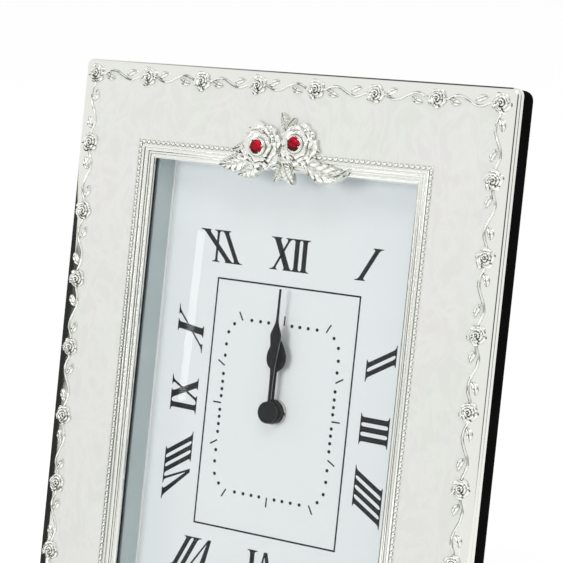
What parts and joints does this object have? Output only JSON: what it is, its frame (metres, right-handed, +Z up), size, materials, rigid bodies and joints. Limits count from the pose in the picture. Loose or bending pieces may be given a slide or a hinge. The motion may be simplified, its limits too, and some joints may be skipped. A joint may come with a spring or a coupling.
{
  "type": "photo frame clock",
  "caption": "Upright picture-frame clock: silver rim with a rose vine, pearl enamel band, deep glazed dial with two hands, quartz movement and a folding easel leg.",
  "frame": {"origin": "on the ground under the middle of the clock's box, as it stands leaning on its leg", "axes": "+X to the viewer's right along the frame's width, +Y from the face to the back, +Z up"},
  "size_m": [0.15, 0.0544, 0.2],
  "materials": {
    "silver": "polished",
    "pearl_enamel": "gloss",
    "red_stone": "polished",
    "clear_glass": "polished",
    "black_flock": "matte",
    "white_liner": "satin",
    "dial_white": "matte",
    "brass": "satin",
    "black_rubber": "matte",
    "black_hand": "satin",
    "black_plastic": "matte",
    "white_plastic": "satin",
    "nickel_steel": "satin",
    "dark_magnet": "satin",
    "copper_wire": "gloss",
    "green_board": "satin",
    "battery_sleeve": "satin"
  },
  "bodies": {
    "root": {"front_frame": "silver", "enamel_panel": "pearl_enamel", "vine_stems": "silver", "vine_leaves": "silver", "border_roses": "silver", "ornament_roses": "silver", "ornament_leaves": "silver", "red_stones": "red_stone", "glass_pane": "clear_glass", "case_body": "black_flock", "dial_spacer": "white_liner", "dial_plate": "dial_white", "dial_nut": "brass", "rubber_gasket": "black_rubber", "movement_front_case": "black_plastic", "movement_back_case": "black_plastic", "case_screws": "nickel_steel", "mid_plate": "white_plastic", "stator": "nickel_steel", "coil_core": "nickel_steel", "coil_bobbin": "white_plastic", "coil_winding": "copper_wire", "circuit_board": "green_board", "quartz_can": "nickel_steel", "battery": "battery_sleeve", "positive_contact": "nickel_steel", "negative_contact": "nickel_steel", "back_board": "black_flock", "turn_button_screws": "nickel_steel", "hinge_plate": "nickel_steel", "hinge_pin": "nickel_steel", "plate_rivets": "nickel_steel"},
    "minute_group": {"centre_arbor": "brass", "clutch_washer": "nickel_steel", "minute_hand": "black_hand"},
    "hour_group": {"hour_wheel": "white_plastic", "hour_hand": "black_hand"},
    "motion_group": {"motion_wheel": "white_plastic", "set_knob": "white_plastic"},
    "centre_wheel_body": {"centre_wheel": "white_plastic"},
    "third_wheel_body": {"third_wheel": "white_plastic"},
    "seconds_wheel_body": {"seconds_wheel": "white_plastic"},
    "intermediate_wheel_body": {"intermediate_wheel": "white_plastic"},
    "rotor_body": {"rotor_pinion": "white_plastic", "rotor_magnet": "dark_magnet"},
    "leg": {"hinge_leaf": "nickel_steel", "easel_leg": "black_flock", "leaf_rivets": "nickel_steel"},
    "button_1": {"turn_button_1": "nickel_steel"},
    "button_2": {"turn_button_2": "nickel_steel"},
    "button_3": {"turn_button_3": "nickel_steel"},
    "button_4": {"turn_button_4": "nickel_steel"}
  },
  "joints": [
    {"name": "minute_hand_turn", "type": "hinge", "parent": "root", "child": "minute_group", "pos_m": [0, 0.01144, 0.09727], "axis": [0, 0.9827, -0.1852], "continuous": true},
    {"name": "hour_hand_turn", "type": "hinge", "parent": "root", "child": "hour_group", "pos_m": [0, 0.01144, 0.09727], "axis": [0, 0.9827, -0.1852], "continuous": true},
    {"name": "motion_wheel_turn", "type": "hinge", "parent": "root", "child": "motion_group", "pos_m": [0.00643, 0.01244, 0.10258], "axis": [0, 0.9827, -0.1852], "continuous": true},
    {"name": "intermediate_wheel_turn", "type": "hinge", "parent": "root", "child": "intermediate_wheel_body", "pos_m": [-0.00139, 0.01289, 0.105], "axis": [0, 0.9827, -0.1852], "continuous": true},
    {"name": "rotor_turn", "type": "hinge", "parent": "root", "child": "rotor_body", "pos_m": [0.00001, 0.01386, 0.11012], "axis": [0, 0.9827, -0.1852], "continuous": true},
    {"name": "seconds_wheel_turn", "type": "hinge", "parent": "root", "child": "seconds_wheel_body", "pos_m": [0, 0.01144, 0.09727], "axis": [0, 0.9827, -0.1852], "continuous": true},
    {"name": "third_wheel_turn", "type": "hinge", "parent": "root", "child": "third_wheel_body", "pos_m": [-0.00768, 0.01169, 0.09861], "axis": [0, 0.9827, -0.1852], "continuous": true},
    {"name": "centre_wheel_turn", "type": "hinge", "parent": "root", "child": "centre_wheel_body", "pos_m": [0, 0.01144, 0.09727], "axis": [0, 0.9827, -0.1852], "continuous": true},
    {"name": "leg_fold", "type": "hinge", "parent": "root", "child": "leg", "pos_m": [0, 0.00365, 0.05702], "axis": [-1, 0, 0], "range_deg": [0, 27]},
    {"name": "button_1_turn", "type": "hinge", "parent": "root", "child": "button_1", "pos_m": [-0.065, -0.00279, 0.05416], "axis": [0, 0.9827, -0.1852], "continuous": true},
    {"name": "button_2_turn", "type": "hinge", "parent": "root", "child": "button_2", "pos_m": [-0.065, 0.01387, 0.14261], "axis": [0, 0.9827, -0.1852], "continuous": true},
    {"name": "button_3_turn", "type": "hinge", "parent": "root", "child": "button_3", "pos_m": [0.065, -0.00279, 0.05416], "axis": [0, 0.9827, -0.1852], "continuous": true},
    {"name": "button_4_turn", "type": "hinge", "parent": "root", "child": "button_4", "pos_m": [0.065, 0.01387, 0.14261], "axis": [0, 0.9827, -0.1852], "continuous": true}
  ],
  "couplings": [
    {"joint": "hour_hand_turn", "follows": "minute_hand_turn", "ratio": 0.083333},
    {"joint": "motion_wheel_turn", "follows": "minute_hand_turn", "ratio": -0.33333},
    {"joint": "rotor_turn", "follows": "intermediate_wheel_turn", "ratio": -5},
    {"joint": "seconds_wheel_turn", "follows": "intermediate_wheel_turn", "ratio": -0.16667},
    {"joint": "third_wheel_turn", "follows": "intermediate_wheel_turn", "ratio": 0.022222},
    {"joint": "centre_wheel_turn", "follows": "intermediate_wheel_turn", "ratio": -0.0027778}
  ]
}
